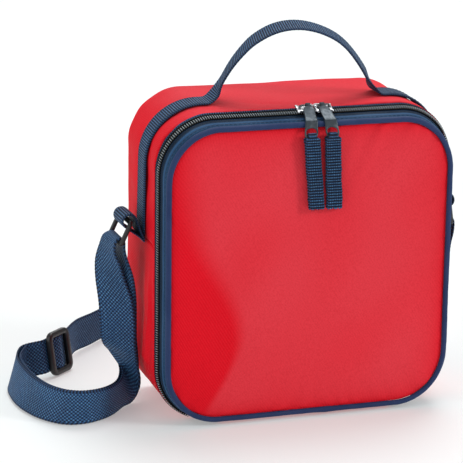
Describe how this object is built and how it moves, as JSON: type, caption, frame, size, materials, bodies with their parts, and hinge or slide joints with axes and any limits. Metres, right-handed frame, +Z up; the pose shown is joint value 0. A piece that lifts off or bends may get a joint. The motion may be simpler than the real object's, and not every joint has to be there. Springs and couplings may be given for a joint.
{
  "type": "lunch box",
  "caption": "Soft insulated lunch bag, squarish with rounded corners, with a zip-round front door, a webbing carry handle and an adjustable shoulder strap on side rings.",
  "frame": {"origin": "centre of the flat base that the bag stands on", "axes": "+Z up, the zipped door faces -Y, +X to the right as seen from the back; the loose shoulder strap lies on the -X side and behind"},
  "size_m": [0.3178, 0.2531, 0.2747],
  "materials": {
    "red_cloth": "woven polyester, soft sheen",
    "white_foam": "closed-cell foam, taken as fabric for its low density",
    "silver_lining": "metallised film, crinkled",
    "navy_tape": "woven tape, matte",
    "navy_webbing": "ribbed webbing, soft sheen",
    "black_coil": "nylon coil",
    "black_plastic": "moulded, satin",
    "silver_metal": "plated, satin",
    "dark_metal": "gunmetal plating, satin"
  },
  "bodies": {
    "bag": {"upper_gusset": "red_cloth", "lower_gusset": "red_cloth", "back_panel": "red_cloth", "body_foam": "white_foam", "body_lining": "silver_lining", "body_seam_binding": "navy_tape", "body_zip_tape": "navy_tape", "body_zip_coil": "black_coil", "fabric_hinge": "red_cloth", "handle_run_left": "navy_webbing", "handle_run_right": "navy_webbing", "side_tab_left": "navy_webbing", "side_tab_right": "navy_webbing", "strap_drop_left": "navy_webbing", "strap_return_drop": "navy_webbing", "strap_return_loop": "navy_webbing", "strap_floor_loop": "navy_webbing", "strap_through_glide": "navy_webbing", "strap_back_run": "navy_webbing", "strap_rise_right": "navy_webbing", "tri_glide": "black_plastic"},
    "door": {"door_outer_panel": "red_cloth", "door_foam": "white_foam", "door_lining": "silver_lining", "door_piping": "navy_tape", "door_seam_binding": "navy_tape", "door_zip_tape": "navy_tape", "door_zip_coil": "black_coil"},
    "slider_l": {"slider_left": "silver_metal"},
    "slider_r": {"slider_right": "silver_metal"},
    "tab_l": {"pull_tab_left": "dark_metal"},
    "tab_r": {"pull_tab_right": "dark_metal"},
    "puller_l": {"webbing_puller_left": "navy_webbing"},
    "puller_r": {"webbing_puller_right": "navy_webbing"},
    "handle": {"handle_loop": "navy_webbing"},
    "ring_l": {"strap_ring_left": "black_plastic", "strap_end_loop_left": "navy_webbing"},
    "ring_r": {"strap_ring_right": "black_plastic", "strap_end_loop_right": "navy_webbing"}
  },
  "joints": [
    {"name": "door_hinge", "type": "hinge", "parent": "bag", "child": "door", "pos_m": [0, -0.0485, 0.0024], "axis": [1, 0, 0], "range_deg": [0, 86]},
    {"name": "slider_left_run", "type": "slide", "parent": "door", "child": "slider_l", "axis": [-1, 0, 0], "range_m": [0, 0.057]},
    {"name": "slider_right_run", "type": "slide", "parent": "door", "child": "slider_r", "axis": [1, 0, 0], "range_m": [0, 0.047]},
    {"name": "tab_left_turn", "type": "hinge", "parent": "slider_l", "child": "tab_l", "pos_m": [-0.0014, -0.03425, 0.22048], "axis": [-1, 0, 0], "range_deg": [0, 120]},
    {"name": "tab_right_turn", "type": "hinge", "parent": "slider_r", "child": "tab_r", "pos_m": [0.012, -0.03425, 0.22048], "axis": [-1, 0, 0], "range_deg": [0, 120]},
    {"name": "puller_left_swing", "type": "hinge", "parent": "tab_l", "child": "puller_l", "pos_m": [-0.0014, -0.0547, 0.20299], "axis": [-1, 0, 0], "range_deg": [0, 90]},
    {"name": "puller_right_swing", "type": "hinge", "parent": "tab_r", "child": "puller_r", "pos_m": [0.012, -0.0547, 0.20299], "axis": [-1, 0, 0], "range_deg": [0, 90]},
    {"name": "handle_swing", "type": "hinge", "parent": "bag", "child": "handle", "pos_m": [0, -0.0045, 0.226], "axis": [1, 0, 0], "range_deg": [-40, 40]},
    {"name": "ring_left_swing", "type": "hinge", "parent": "bag", "child": "ring_l", "pos_m": [-0.1185, 0.0035, 0.1393], "axis": [0, 1, 0], "range_deg": [-25, 55]},
    {"name": "ring_right_swing", "type": "hinge", "parent": "bag", "child": "ring_r", "pos_m": [0.1185, 0.0035, 0.1393], "axis": [0, -1, 0], "range_deg": [-10, 70]}
  ]
}
